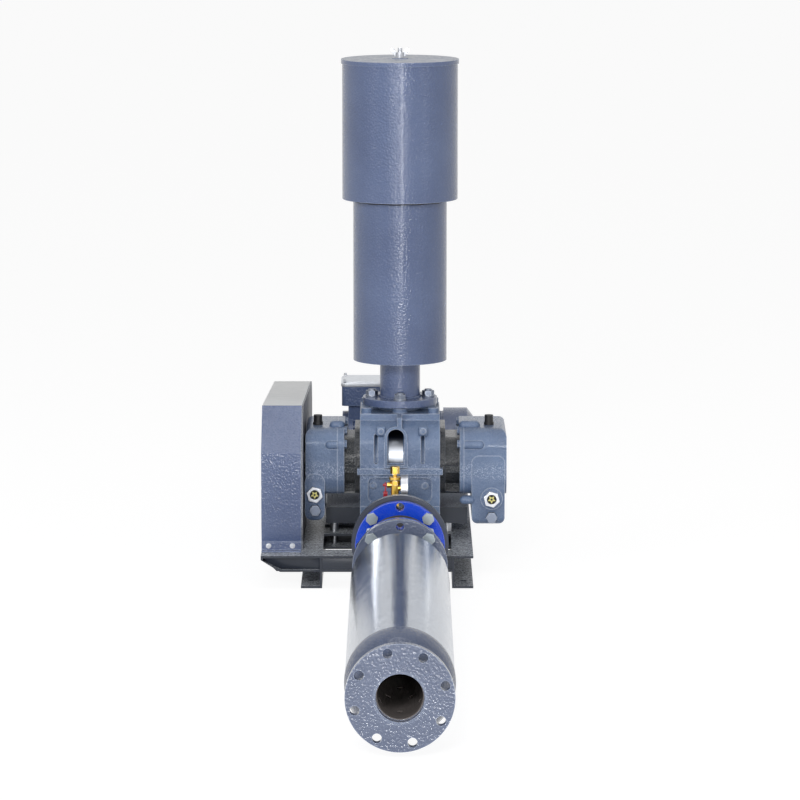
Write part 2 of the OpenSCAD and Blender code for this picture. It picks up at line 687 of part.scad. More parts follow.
// Belts: round each pulley and straight between them, narrow below and wide above
belt_dy = motor_y + pitch_r;
belt_dz = motor_z - shaft_z;
belt_run = sqrt(belt_dy * belt_dy + belt_dz * belt_dz);
belt_tilt = atan2(belt_dz, belt_dy);
belt_lean = asin((blower_pulley_d - motor_pulley_d) / 2 / belt_run);
belt_steps = 36;
function belt_arc(centre, r, from, to) = [
  for (i = [0 : belt_steps]) let (a = from + (to - from) * i / belt_steps) [centre + r * cos(a), r * sin(a)]
];
module belt_loop(grow) polygon(concat(
  belt_arc(0, blower_pulley_d / 2 + grow, 90 - belt_lean, 270 + belt_lean),
  belt_arc(belt_run, motor_pulley_d / 2 + grow, belt_lean - 90, 90 - belt_lean)
));
module belt_layer(low, high, half) translate([0, 0, -half]) linear_extrude(2 * half) difference() {
  belt_loop(high);
  belt_loop(low);
}
module v_belts() color("black") at_blower() for (i = [0 : belt_count - 1])
  translate([pulley_x + pulley_edge + i * belt_pitch, -pitch_r, shaft_z])
    rotate([90, 0, 90]) rotate([0, 0, belt_tilt]) {
      belt_layer(belt_top - belt_h, belt_top - belt_h / 2, belt_low_half);
      belt_layer(belt_top - belt_h / 2, belt_top, belt_high_half);
    }

// Belt guard: a sheet box whose outline follows the pulleys, open towards its back plate
guard_points = [
  [-250, 127], [-250, 288], [-160, 379], [760, 297], [800, 250], [800, 130], [775, rail_h], [-241, rail_h], [-241, 92]
];
function unit(v) = v / norm(v);
function inward(a, b) = [unit(b - a)[1], -unit(b - a)[0]];
function inset_corner(a, p, b, d) = p + d * (inward(a, p) + inward(p, b)) / (1 + inward(a, p) * inward(p, b));
function inset(points, d) = [
  for (i = [0 : len(points) - 1])
    inset_corner(points[(i + len(points) - 1) % len(points)], points[i], points[(i + 1) % len(points)], d)
];
guard_back_t = 3;
module belt_guard() color("slategray") at_blower() {
  difference() {
    along_x(guard_x, guard_back_x - guard_back_t) polygon(guard_points);
    along_x(guard_x + guard_wall, guard_back_x) polygon(inset(guard_points, guard_wall));
  }
  // foot lip that screws to the outrigger, clear of the back plate
  block(guard_x, guard_back_x - guard_back_t, -262, -238.5, rail_h, rail_h + guard_wall);
  block(guard_x, guard_back_x - guard_back_t, -244, -240.9, rail_h, rail_h + 20);
}
module guard_back_plate() color("dimgray") at_blower() difference() {
  along_x(guard_back_x - guard_back_t, guard_back_x) polygon(guard_points);
  translate([0, -pitch_r, shaft_z]) x_rod(guard_x, 0, 70);
  translate([0, motor_y, motor_z]) rotate([90, 0, 90]) translate([0, 0, guard_x])
    linear_extrude(-guard_x) rotate(90) slot_outline(100, 56);
}

// Motor: finned barrel on two feet
module fins(x0, x1, r) along_x(x0, x1) {
  circle(r - fin_h);
  for (i = [0 : fin_count - 1]) rotate((i + 0.5) * 360 / fin_count) translate([0, -fin_t / 2])
    square([r, fin_t]);
}
module motor_housing() color("slategray") at_motor() difference() {
  union() {
    fins(motor_x0, motor_x1, motor_r);
    for (x = [motor_x0, motor_x1 - 10]) x_rod(x, x + 10, 2 * motor_r);
    for (x = motor_feet_x) {
      block(x - 20, x + 20, -97, 97, foot_z - motor_z, foot_z - motor_z + 12);
      for (s = [-1, 1]) block(x - 4, x + 4, min(s * 40, s * 84), max(s * 40, s * 84), foot_z - motor_z, -45);
    }
    block(motor_x0, box_x1 - 20, -46, 46, 60, box_neck_top_z - motor_z);
  }
  x_rod(motor_x0 - 1, motor_x1 + 1, motor_shaft_d + 2);
  translate([0, 0, foot_z - motor_z]) motor_bolt_places() z_rod(-1, 13, 12);
}
module motor_end_shields() color("slategray") at_motor() {
  difference() {
    union() {
      x_rod(motor_x0 - 14, motor_x0, 2 * motor_r);
      translate([motor_x0 - 14, 0, 0]) rotate([0, -90, 0])
        cylinder(h = motor_x0 - 14 - shield_x, r1 = motor_r - 12, r2 = 52);
      for (a = [45 : 90 : 315]) rotate([a, 0, 0]) translate([0, motor_r - 6, 0]) x_rod(motor_x0 - 20, motor_x0, 20);
    }
    x_rod(shield_x - 1, motor_x0 + 1, motor_shaft_d + 2 * fit);
  }
  difference() {
    x_rod(motor_x1, motor_x1 + 12, 2 * (cowl_r - cowl_wall) - 2 * bolt_play);
    x_rod(motor_x1 - 1, motor_x1 + 13, motor_shaft_d + 2 * fit);
  }
}
module motor_shaft() color("silver") at_motor() x_rod(pulley_x - 2, cowl_x1 - 22, motor_shaft_d);
module motor_fan() color("dimgray") at_motor() difference() {
  union() {
    x_rod(motor_x1 + 18, motor_x1 + 21, 2 * cowl_r - 50);
    x_rod(motor_x1 + 18, cowl_x1 - 24, 48);
    for (i = [0 : 6]) rotate([i * 360 / 7, 0, 0]) block(motor_x1 + 18, cowl_x1 - 24, -1.5, 1.5, 20, cowl_r - 16);
  }
  x_rod(motor_x1, cowl_x1, motor_shaft_d + 2 * fit);
}
module fan_cowl() color("slategray") at_motor() difference() {
  rotate([0, 90, 0]) rotate_extrude() polygon([
    [0, cowl_x1], [cowl_r - 18, cowl_x1], [cowl_r, cowl_x1 - 14], [cowl_r, motor_x1 - 4],
    [cowl_r - cowl_wall, motor_x1 - 4], [cowl_r - cowl_wall, cowl_x1 - 14 - cowl_wall / 2],
    [cowl_r - 18 - cowl_wall / 2, cowl_x1 - cowl_wall], [0, cowl_x1 - cowl_wall]
  ]);
  for (y = [-60 : 15 : 60]) let (half = sqrt(68 * 68 - y * y)) along_x(cowl_x1 - 5, cowl_x1 + 1)
    translate([y, 0]) slot_outline(2 * half, 7);
}
module terminal_box() color("slategray") at_motor() {
  difference() {
    translate([0, 0, box_neck_top_z - motor_z])
      linear_extrude(box_top_z - box_lid_t - box_neck_top_z) round_rect(box_x0, box_x1, -58, 58, 10);
    translate([0, 0, box_neck_top_z - motor_z + 5])
      linear_extrude(box_top_z) round_rect(box_x0 + 5, box_x1 - 5, -53, 53, 6);
    translate([-75, 0, 140]) y_rod(40, 60, gland_d - 6);
  }
  translate([-75, 0, 140]) {
    difference() {
      union() {
        y_rod(52, 58, gland_d - 6.4);
        y_rod(58, 78, gland_d - 4);
        translate([0, 66, 0]) rotate([90, 0, 0]) cylinder(h = 8, d = gland_d + 4, $fn = hexagon);
      }
      y_rod(50, 80, 12);
    }
  }
}
module terminal_box_lid() color("lightgray") at_motor() translate([0, 0, box_top_z - box_lid_t - motor_z]) {
  linear_extrude(box_lid_t - 3) round_rect(box_x0 - 2, box_x1 + 2, -60, 60, 11);
  translate([0, 0, box_lid_t - 3]) linear_extrude(3) round_rect(box_x0 + 4, box_x1 - 4, -54, 54, 8);
}

// Inlet: neck, silencer and filter, one above the other
module inlet_gasket() color("black") at_blower()
  z_pipe(inlet_z - gasket_t, inlet_z, inlet_pcd - inlet_bolt_d - 2, (inlet_pcd - inlet_bolt_d - 2 - pipe_d) / 2 + pipe_wall);
module inlet_pipe() color("slategray") at_blower() difference() {
  union() {
    z_rod(inlet_z, inlet_z + inlet_flange_t, inlet_flange_d);
    z_rod(inlet_z, inlet_silencer_z + 12, pipe_d);
  }
  z_rod(inlet_z - 1, inlet_silencer_z + 13, pipe_d - 2 * pipe_wall);
  for (a = [0 : 90 : 270]) rotate(a) translate([inlet_pcd / 2, 0, 0])
    z_rod(inlet_z - 1, inlet_z + inlet_flange_t + 1, inlet_bolt_d + 2 * bolt_play);
}
module inlet_bolts() color("silver") at_blower() for (a = [0 : 90 : 270])
  rotate(a) translate([inlet_pcd / 2, 0, 0]) {
    z_rod(inlet_z - 22, inlet_z + inlet_flange_t + 16, inlet_bolt_d);
    z_rod(inlet_z + inlet_flange_t, inlet_z + inlet_flange_t + 3, 1.8 * inlet_bolt_d);
    translate([0, 0, inlet_z + inlet_flange_t]) cylinder(h = 13, d = 1.7 * inlet_bolt_d, $fn = hexagon);
  }
sheet = 2;
module inlet_silencer_shell() color("slategray") at_blower() rotate_extrude() {
  r = inlet_silencer_d / 2;
  polygon([
    [pipe_d / 2 + fit, inlet_silencer_z], [r, inlet_silencer_z], [r, filter_z], [pipe_d / 2, filter_z],
    [pipe_d / 2, filter_z - sheet], [r - sheet, filter_z - sheet], [r - sheet, inlet_silencer_z + sheet],
    [pipe_d / 2 + fit, inlet_silencer_z + sheet]
  ]);
}
module perforated_tubes() color("silver") at_blower() {
  difference() {
    z_pipe(inlet_silencer_z + 12, filter_z - sheet, pipe_d, sheet);
    for (i = [0 : 4], a = [0 : 60 : 120]) translate([0, 0, inlet_silencer_z + 60 + i * 60])
      rotate(a + 30 * (i % 2)) rotate([90, 0, 0]) cylinder(h = pipe_d + 10, d = 10, center = true);
  }
  translate([0, 0, discharge_z]) difference() {
    y_pipe(silencer_front_y + flange_t, silencer_body_y - sheet, pipe_d - 1, sheet);
    for (i = [0 : 9], a = [0 : 60 : 120]) translate([0, silencer_front_y + flange_t + 60 + i * 100, 0])
      rotate([0, a + 30 * (i % 2), 0]) cylinder(h = pipe_d + 10, d = 12, center = true);
  }
}
module sound_absorbers() color("khaki") at_blower() {
  z_pipe(inlet_silencer_z + sheet, filter_z - sheet, inlet_silencer_d - 2 * sheet - 2 * pass_gap,
    (inlet_silencer_d - 2 * sheet - pipe_d) / 2 - 2 * pass_gap);
  translate([0, 0, discharge_z]) y_pipe(silencer_ring_y + sheet, silencer_body_y - sheet,
    silencer_d - 2 * sheet - 2 * pass_gap, (silencer_d - 2 * sheet - pipe_d) / 2 - 2 * pass_gap);
}
module filter_housing() color("slategray") at_blower() difference() {
  z_rod(filter_z, filter_top_z, filter_d);
  z_rod(filter_z + sheet, filter_top_z + 1, filter_d - 2 * sheet);
  z_rod(filter_z - 1, filter_z + sheet + 1, pipe_d);
  for (a = [0 : 30 : 330]) rotate(a) translate([(filter_d + inlet_silencer_d) / 4, 0, 0])
    z_rod(filter_z - 1, filter_z + sheet + 1, 15);
}
pleats = 48;
element_r = 92;
element_top_z = filter_top_z - 30;
module filter_element() color("ivory") at_blower() difference() {
  union() {
    z_rod(filter_z + sheet, filter_z + sheet + 8, 2 * element_r + 6);
    z_rod(element_top_z - 6, element_top_z, 2 * element_r + 6);
    translate([0, 0, filter_z + sheet + 8]) linear_extrude(element_top_z - filter_z - sheet - 14) difference() {
      polygon([for (i = [0 : 2 * pleats - 1]) let (r = i % 2 == 0 ? element_r : element_r - 20, a = i * 180 / pleats)
        r * [cos(a), sin(a)]]);
      circle(d = 2 * element_r - 50);
    }
  }
  z_rod(filter_z, filter_z + 20, 2 * element_r - 50);
  z_rod(element_top_z - 10, element_top_z + 1, rod_d + 2 * bolt_play);
}
module tie_rod() color("silver") at_blower() {
  z_rod(filter_z + sheet, rod_top_z, rod_d);
  block(-56, 56, -8, 8, filter_z + sheet, filter_z + sheet + 5);
  z_rod(element_top_z, element_top_z + 8, 20);
}
module filter_lid() color("slategray") at_blower() difference() {
  union() {
    z_rod(lid_z, lid_z + sheet, lid_d);
    z_pipe(lid_z - lid_skirt, lid_z, lid_d, (lid_d - filter_d) / 2 - pass_gap);
    z_rod(lid_z + sheet, lid_z + sheet + 2, 36);
  }
  z_rod(lid_z - 1, lid_z + 10, rod_d + 2 * bolt_play);
}
nut_z = lid_z + sheet + 2 + pass_gap;
module wing_nut() color("silver") at_blower() difference() {
  union() {
    z_rod(nut_z, nut_z + 12, 19);
    for (s = [0, 180]) rotate(s) translate([0, 2, nut_z]) rotate([90, 0, 0]) linear_extrude(4) {
      polygon([[6, 1], [11, 3], [21, 15], [18, 21], [14, 20], [7, 11]]);
      translate([17.5, 18]) circle(3.6);
    }
  }
  z_rod(nut_z - 1, nut_z + 30, rod_d + 2 * bolt_play);
}

// Discharge line to the front
module at_discharge() at_blower() translate([0, 0, discharge_z]) children();
module flange_hole_ring(d, y0, y1, start = 0) along_y(y0, y1) rotate(start) ring_of(flange_holes, flange_pcd) circle(d = d);
module discharge_pipe() color("dimgray") at_discharge() difference() {
  union() {
    y_rod(stub_flange_y, stub_flange_y + flange_t, stub_flange_d);
    y_rod(stub_flange_y + 1, -casing_front, stub_d);
    along_y(-casing_front - 10, -casing_front) round_rect(-60, 60, -37, 37, 12);
    translate([cock_x, cock_y, 20]) z_rod(0, 26, 22);
  }
  y_rod(stub_flange_y - 1, -casing_front + 1, stub_d - 2 * pipe_wall);
  translate([cock_x, cock_y, 20]) z_rod(14, 30, 10);
  flange_hole_ring(joint_hole_d, stub_flange_y - 1, stub_flange_y + flange_t + 1);
}
arch_r = 76;
rubber_r = pipe_d / 2 + 6;
module rubber_joint() color("black") at_discharge() difference() {
  union() {
    y_rod(stub_flange_y - joint_lip, stub_flange_y, flange_pcd - joint_hole_d - 4);
    y_rod(silencer_rear_y + flange_t, silencer_rear_y + flange_t + joint_lip, flange_pcd - joint_hole_d - 4);
    y_rod(silencer_rear_y + flange_t, stub_flange_y, 2 * rubber_r);
    for (i = [-1, 1]) translate([0, (joint_back_y + joint_front_y) / 2 + i * 44, 0]) rotate([90, 0, 0])
      rotate_extrude() translate([arch_r - 18, 0]) circle(18);
    for (i = [-1, 1]) translate([0, (joint_back_y + joint_front_y) / 2 + i * 44, 0])
      y_rod(-18, 18, 2 * (arch_r - 18));
  }
  y_rod(silencer_rear_y, stub_flange_y + 1, pipe_d - 2 * pipe_wall);
}
module joint_flanges() color("royalblue") at_discharge() for (y = [joint_back_y, joint_front_y - joint_flange_t])
  difference() {
    y_rod(y, y + joint_flange_t, joint_flange_d);
    y_rod(y - 1, y + joint_flange_t + 1, 2 * rubber_r + 2 * pass_gap);
    flange_hole_ring(joint_hole_d, y - 1, y + joint_flange_t + 1);
  }
module joint_bolt(y_head, y_nut) for (a = [45 : 90 : 315]) rotate([0, a, 0]) translate([flange_pcd / 2, 0, 0]) {
  y_rod(y_head, y_nut + 18, joint_bolt_d);
  translate([0, y_head, 0]) rotate([90, 0, 0]) cylinder(h = 10, d = 1.7 * joint_bolt_d, $fn = hexagon);
  translate([0, y_nut + 13, 0]) rotate([90, 0, 0]) cylinder(h = 13, d = 1.7 * joint_bolt_d, $fn = hexagon);
}
module joint_bolts() color("silver") at_discharge() {
  joint_bolt(joint_back_y, stub_flange_y + flange_t);
  joint_bolt(silencer_rear_y, joint_front_y);
}
module silencer_rear_flange() color("slategray") at_discharge() difference() {
  union() {
    y_rod(silencer_rear_y, silencer_rear_y + flange_t, flange_d);
    y_rod(silencer_body_y - sheet, silencer_rear_y, pipe_d);
  }
  y_rod(silencer_body_y - 20, silencer_rear_y + flange_t + 1, pipe_d - 2 * pipe_wall);
  flange_hole_ring(joint_hole_d, silencer_rear_y - 1, silencer_rear_y + flange_t + 1);
}
module silencer_shell() color("lightsteelblue") at_discharge() difference() {
  y_rod(silencer_ring_y, silencer_body_y, silencer_d);
  y_rod(silencer_ring_y - 1, silencer_body_y - sheet, silencer_d - 2 * sheet);
  y_rod(silencer_body_y - sheet - 1, silencer_body_y + 1, pipe_d + 2 * fit);
}
module silencer_front_flange() color("slategray") at_discharge() difference() {
  union() {
    y_rod(silencer_front_y, silencer_front_y + flange_t, flange_d);
    translate([0, silencer_front_y, 0]) rotate([-90, 0, 0]) rotate_extrude() polygon([
      [pipe_d / 2 - 1, 1], [pipe_d / 2 + front_collar, 1], [pipe_d / 2 + front_collar, front_neck],
      [silencer_d / 2 - 22, front_neck + 34], [silencer_d / 2 - 6, front_neck + 66],
      [silencer_d / 2 + 1, front_neck + 92], [silencer_d / 2 + 1, silencer_ring_y - silencer_front_y],
      [silencer_d / 2 - sheet, silencer_ring_y - silencer_front_y], [silencer_d / 2 - sheet, front_neck + 92],
      [silencer_d / 2 - 6 - sheet, front_neck + 68], [silencer_d / 2 - 24, front_neck + 37],
      [pipe_d / 2, front_neck + 6]
    ]);
  }
  y_rod(silencer_front_y - 1, silencer_front_y + flange_t, pipe_d);
  y_rod(silencer_front_y, silencer_front_y + front_neck + 10, pipe_d - 1 + 2 * fit);
  flange_hole_ring(flange_hole_d, silencer_front_y - 1, silencer_front_y + flange_t + 1, front_start);
  // weld groove between the pipe and the flange
  along_y(silencer_front_y - 1, silencer_front_y + 1.5) difference() {
    circle(d = pipe_d + 8);
    circle(d = pipe_d + 5.6);
  }
}

// Gauge and cock on the pipe stub
module at_cock() at_blower() translate([cock_x, cock_y, 0]) children();
cock_base_z = discharge_z + 46;
module gauge_cock() color("gold") at_cock() difference() {
  union() {
    z_rod(cock_base_z - 11, cock_base_z + 106, 9);
    translate([0, 0, cock_base_z]) cylinder(h = 12, d = 22, $fn = hexagon);
    z_rod(cock_base_z + 12, cock_base_z + 76, 17);
    translate([0, 0, cock_base_z + 34]) cylinder(h = 10, d = 22, $fn = hexagon);
    translate([0, 0, cock_base_z + 66]) cylinder(h = 10, d = 22, $fn = hexagon);
    z_rod(cock_base_z + 78, cock_base_z + 84, 2 * (gauge_x - cock_x - pass_gap));
    translate([0, 0, cock_base_z + 91]) cylinder(h = 16, d = 20, $fn = hexagon);
    translate([0, 0, gauge_z]) x_rod(0, gauge_x - cock_x, 12);
    translate([0, 0, lever_pivot_z]) x_rod(-17, 0, 12);
  }
  translate([0, 0, lever_pivot_z]) x_rod(-18, -9, 6 + 2 * fit);
}
module cock_lever() color("firebrick") at_cock() translate([0, 0, lever_pivot_z]) {
  x_rod(-26, -10, 6);
  along_x(-22, -19) {
    round_rect(-6, 6, -34, 6, 5.5);
  }
  along_x(-25, -16) round_rect(-6.5, 6.5, -40, -14, 4);
}
module pressure_gauge() color("silver") at_blower() translate([gauge_x, cock_y, gauge_z]) difference() {
  union() {
    x_rod(0, gauge_t, gauge_d);
    x_rod(gauge_t - 3, gauge_t, gauge_d + 3);
  }
  x_rod(4, gauge_t + 1, gauge_d - 6);
}
module gauge_needle() color("black") at_blower() translate([gauge_x + 6, cock_y, gauge_z]) {
  x_rod(-1.8, 3, 5);
  rotate([needle_rest, 0, 0]) along_x(0, 1) polygon([[-1.2, -7], [1.2, -7], [0.5, 21], [-0.5, 21]]);
}

left_rail();
right_rail();
cross_beams();
motor_slide_plate();
blower_feet();
levelling_studs();
discharge_box();
rotor_casing();
name_plate();
drive_side_plate();
gear_side_plate();
drive_end_cover();
gear_end_cover();
cover_bolts();
oil_filler_plugs();
oil_drain_plugs();
sight_glass_bodies();
sight_lenses();
shaft_bearings();
shaft_seals();
drive_shaft();
drive_rotor();
drive_timing_gear();
blower_pulley();
driven_shaft();
driven_rotor();
driven_timing_gear();
inlet_gasket();
inlet_pipe();
inlet_bolts();
inlet_silencer_shell();
perforated_tubes();
sound_absorbers();
filter_housing();
filter_element();
tie_rod();
filter_lid();
wing_nut();
belt_guard();
guard_back_plate();
v_belts();
motor_housing();
motor_end_shields();
motor_shaft();
motor_pulley();
motor_fan();
fan_cowl();
terminal_box();
terminal_box_lid();
discharge_pipe();
rubber_joint();
joint_flanges();
joint_bolts();
silencer_rear_flange();
silencer_shell();
silencer_front_flange();
gauge_cock();
cock_lever();
pressure_gauge();
gauge_needle();
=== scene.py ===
import json
import math
import bpy
from mathutils import Matrix, Quaternion, Vector

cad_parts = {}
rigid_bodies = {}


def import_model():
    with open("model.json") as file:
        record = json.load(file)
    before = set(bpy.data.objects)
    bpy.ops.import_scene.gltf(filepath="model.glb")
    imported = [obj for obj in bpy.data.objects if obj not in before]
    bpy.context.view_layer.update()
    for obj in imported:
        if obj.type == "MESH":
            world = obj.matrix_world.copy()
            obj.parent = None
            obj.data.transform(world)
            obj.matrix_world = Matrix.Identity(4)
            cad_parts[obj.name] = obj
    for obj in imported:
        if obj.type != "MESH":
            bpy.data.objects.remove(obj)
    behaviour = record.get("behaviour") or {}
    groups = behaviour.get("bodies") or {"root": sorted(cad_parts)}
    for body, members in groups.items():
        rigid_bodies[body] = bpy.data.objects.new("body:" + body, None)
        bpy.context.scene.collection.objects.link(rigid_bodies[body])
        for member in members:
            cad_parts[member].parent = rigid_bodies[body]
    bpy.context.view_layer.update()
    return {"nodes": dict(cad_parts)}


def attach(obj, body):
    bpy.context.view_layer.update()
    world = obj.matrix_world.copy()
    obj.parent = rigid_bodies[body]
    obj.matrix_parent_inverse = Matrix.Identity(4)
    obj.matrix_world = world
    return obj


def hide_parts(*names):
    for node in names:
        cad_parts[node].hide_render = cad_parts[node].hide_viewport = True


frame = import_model()


# Filter housing, inlet silencer and lid
# Rolled steel sheet, spot welded and sprayed with a hammered blue-grey gloss paint that dries
# in small cells. The lid is a pressed disc with a turned-down skirt.
class Shade:
    """A node's output. Arithmetic on it adds Math nodes to the material in hand."""
    tree = None

    def __init__(self, socket):
        self.socket = socket

    @classmethod
    def node(cls, kind, inputs=None, out=0, stops=None, **settings):
        made = cls.tree.nodes.new(kind)
        for key, value in settings.items():
            setattr(made, key, value)
        for i, (place, colour) in enumerate(stops or []):
            if i >= len(made.color_ramp.elements):
                made.color_ramp.elements.new(place)
            made.color_ramp.elements[i].position = place
            made.color_ramp.elements[i].color = (*colour, 1.0)
        for key, value in (inputs or {}).items():
            if isinstance(value, Shade):
                cls.tree.links.new(value.socket, made.inputs[key])
            else:
                made.inputs[key].default_value = value
        return cls(made.outputs[out])

    def maths(self, operation, other=0.0, swapped=False):
        first, second = (other, self) if swapped else (self, other)
        return self.node("ShaderNodeMath", {0: first, 1: second}, operation=operation)

    def __add__(self, other):
        return self.maths("ADD", other)

    def __radd__(self, other):
        return self.maths("ADD", other, True)

    def __sub__(self, other):
        return self.maths("SUBTRACT", other)

    def __rsub__(self, other):
        return self.maths("SUBTRACT", other, True)

    def __mul__(self, other):
        return self.maths("MULTIPLY", other)

    def __rmul__(self, other):
        return self.maths("MULTIPLY", other, True)

    def __pow__(self, other):
        return self.maths("POWER", other)

    def over(self, low, high):
        """0 below low, 1 above high, and even between them."""
        span = {"Value": self, "From Min": low, "From Max": high}
        return self.node("ShaderNodeMapRange", span)


def linear(r, g, b):
    """A colour written in 0 to 255, as the shaders take it."""
    part = [((c / 255 + 0.055) / 1.055) ** 2.4 if c > 10 else c / 3294.6
            for c in (r, g, b)]
    return (*part, 1.0)


def place(stretch=(1, 1, 1), centre=(0, 0, 0), turn=(0, 0, 0)):
    """Object coordinates, moved to a centre, turned and stretched."""
    here = Shade.node("ShaderNodeTexCoord", out="Object")
    spot = [-c for c in centre]
    moved = Shade.node("ShaderNodeMapping", {"Vector": here, "Location": spot})
    laid = {"Vector": moved, "Rotation": turn, "Scale": stretch}
    return Shade.node("ShaderNodeMapping", laid)


def noise(scale, detail=2.0, rough=0.5, **where):
    """Cloudy grain, about 0.5 on average."""
    return Shade.node("ShaderNodeTexNoise", {
        "Vector": place(**where), "Scale": scale, "Detail": detail, "Roughness": rough}, out="Fac")


def cells(scale, feature="F1", out="Distance", **where):
    """Cells that meet along lines, as in hammered paint or zinc crystals."""
    return Shade.node("ShaderNodeTexVoronoi", {"Vector": place(**where), "Scale": scale},
                      feature=feature, out=out)


def blend(amount, first, second):
    """One colour where amount is 0, and the other where it is 1."""
    return Shade.node("ShaderNodeMix", {0: amount, 6: first, 7: second},
                      data_type="RGBA", out=2)


def upward():
    """1 on a face that looks up, 0 on one that looks sideways or down."""
    normal = Shade.node("ShaderNodeNewGeometry", out="Normal")
    return Shade.node("ShaderNodeSeparateXYZ", {0: normal}, out="Z").over(0.75, 1.0)


def edges(reach=0.002):
    """1 on an edge or a corner, 0 on a flat face."""
    flat = Shade.node("ShaderNodeNewGeometry", out="Normal")
    soft = Shade.node("ShaderNodeBevel", {"Radius": reach}, samples=4)
    match = Shade.node("ShaderNodeVectorMath", {0: flat, 1: soft},
                       out="Value", operation="DOT_PRODUCT")
    return (1.0 - match).over(0.01, 0.12)


def belt(low, high, soft=0.012):
    """1 between two heights, falling to 0 above and below."""
    height = Shade.node("ShaderNodeSeparateXYZ", {0: place()}, out="Z")
    return height.over(low - soft, low) * (1.0 - height.over(high, high + soft))


def begin(name):
    """A new material, which the helpers above write their nodes into."""
    material = bpy.data.materials.new(name)
    material.use_nodes = True
    Shade.tree = material.node_tree
    return material


def dress(colour, rough, metal=0.0, bumps=(), **fixed):
    """Joins what the nodes made to the shader. Each bump is a height and its depth in metres."""
    shader = Shade.tree.nodes["Principled BSDF"]
    given = {"Base Color": colour, "Roughness": rough, "Metallic": metal, **fixed}
    for key, value in given.items():
        if isinstance(value, Shade):
            Shade.tree.links.new(value.socket, shader.inputs[key])
        else:
            shader.inputs[key].default_value = value
    normal = None
    for height, depth in bumps:
        inputs = {"Height": height, "Distance": depth, "Strength": 1.0}
        if normal:
            inputs["Normal"] = normal
        normal = Shade.node("ShaderNodeBump", inputs)
    if normal:
        Shade.tree.links.new(normal.socket, shader.inputs["Normal"])


def hammered(name, colour, deep, cell=230.0, depth=0.0009, dust_and_light_on_top=0.15,
             dust_and_light_colour=linear(196, 200, 208)):
    """Hammered gloss paint: shallow cells, a little uneven in tone, paled where it looks up by
    dust and a painted highlight.
    """
    material = begin(name)
    dimple = cells(cell, feature="SMOOTH_F1")
    tone = noise(7.0, 4.0)
    fleck = noise(900.0, 1.0).over(0.58, 0.70)
    dust_and_top_light = upward() * noise(60.0, 5.0, 0.7).over(0.2, 0.6) * dust_and_light_on_top
    shade = blend(tone.over(0.3, 0.7), deep, colour)
    shade = blend(fleck * 0.22, shade, linear(168, 182, 210))
    # Pale edges: a painted highlight along every edge.
    shade = blend(edges(0.0025) * 0.55, shade, linear(184, 196, 220))
    shade = blend(dust_and_top_light, shade, dust_and_light_colour)
    dress(shade, 0.13 + dimple * 0.10 + dust_and_top_light,
          bumps=[(dimple, depth), (noise(1400.0, 1.0), 0.0001)],
          **{"Specular IOR Level": 0.5, "Coat Weight": 0.12, "Coat Roughness": 0.14})
    return material


def paint_node(material, *nodes):
    """Gives a CAD node its finish."""
    for node in nodes:
        mesh = frame["nodes"][node].data
        mesh.materials.clear()
        mesh.materials.append(material)


def alone(*chosen):
    """Selects these objects and nothing else, in object mode."""
    if bpy.context.mode != "OBJECT":
        bpy.ops.object.mode_set(mode="OBJECT")
    bpy.ops.object.select_all(action="DESELECT")
    for obj in chosen:
        obj.select_set(True)
        bpy.context.view_layer.objects.active = obj


def settle(name, material, body="base", smooth=35):
    """Names the active object, puts its place in its mesh, smooths it and joins its body."""
    obj = bpy.context.view_layer.objects.active
    alone(obj)
    bpy.ops.object.transform_apply(location=True, rotation=True, scale=True)
    bpy.ops.object.shade_smooth_by_angle(angle=math.radians(smooth))
    obj.name = obj.data.name = name
    obj.data.materials.clear()
    obj.data.materials.append(material)
    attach(obj, body)
    return obj


def rounded(node, width, material, steps=2, angle=32, smooth=40, body="base"):
    """A copy of a CAD node with its edges rounded, shown in its place."""
    source = frame["nodes"][node]
    obj = source.copy()
    obj.data = source.data.copy()
    obj.parent = None
    for key in list(obj.keys()):
        del obj[key]
    bpy.context.scene.collection.objects.link(obj)
    alone(obj)
    bpy.ops.object.mode_set(mode="EDIT")
    bpy.ops.mesh.select_all(action="SELECT")
    bpy.ops.mesh.remove_doubles(threshold=0.00001)
    bpy.ops.mesh.dissolve_limited(angle_limit=math.radians(0.5))
    bpy.ops.object.mode_set(mode="OBJECT")
    soft = obj.modifiers.new("edges", "BEVEL")
    soft.width = width
    soft.segments = steps
    soft.limit_method = "ANGLE"
    soft.angle_limit = math.radians(angle)
    bpy.ops.object.modifier_apply(modifier="edges")
    settle(node + "_rounded", material, body, smooth)
    even = obj.modifiers.new("even", "WEIGHTED_NORMAL")
    even.keep_sharp = True
    bpy.ops.object.modifier_apply(modifier="even")
    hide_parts(node)
    return obj


shell_paint = hammered("hammered_blue_grey", linear(97, 113, 150), linear(84, 99, 136))
paint_node(shell_paint, "inlet_silencer_shell", "filter_housing")
# The lid's top is paled almost white: dust, and a painted highlight for the light that falls on
# it.
dust_and_lit_top_paint = hammered("hammered_dusty_top", linear(101, 117, 154), linear(88, 103, 140),
                       dust_and_light_on_top=0.85, dust_and_light_colour=linear(232, 234, 236))
rounded("filter_lid", 0.0008, dust_and_lit_top_paint, body="filter_lid")
rounded("inlet_pipe", 0.0015, shell_paint)


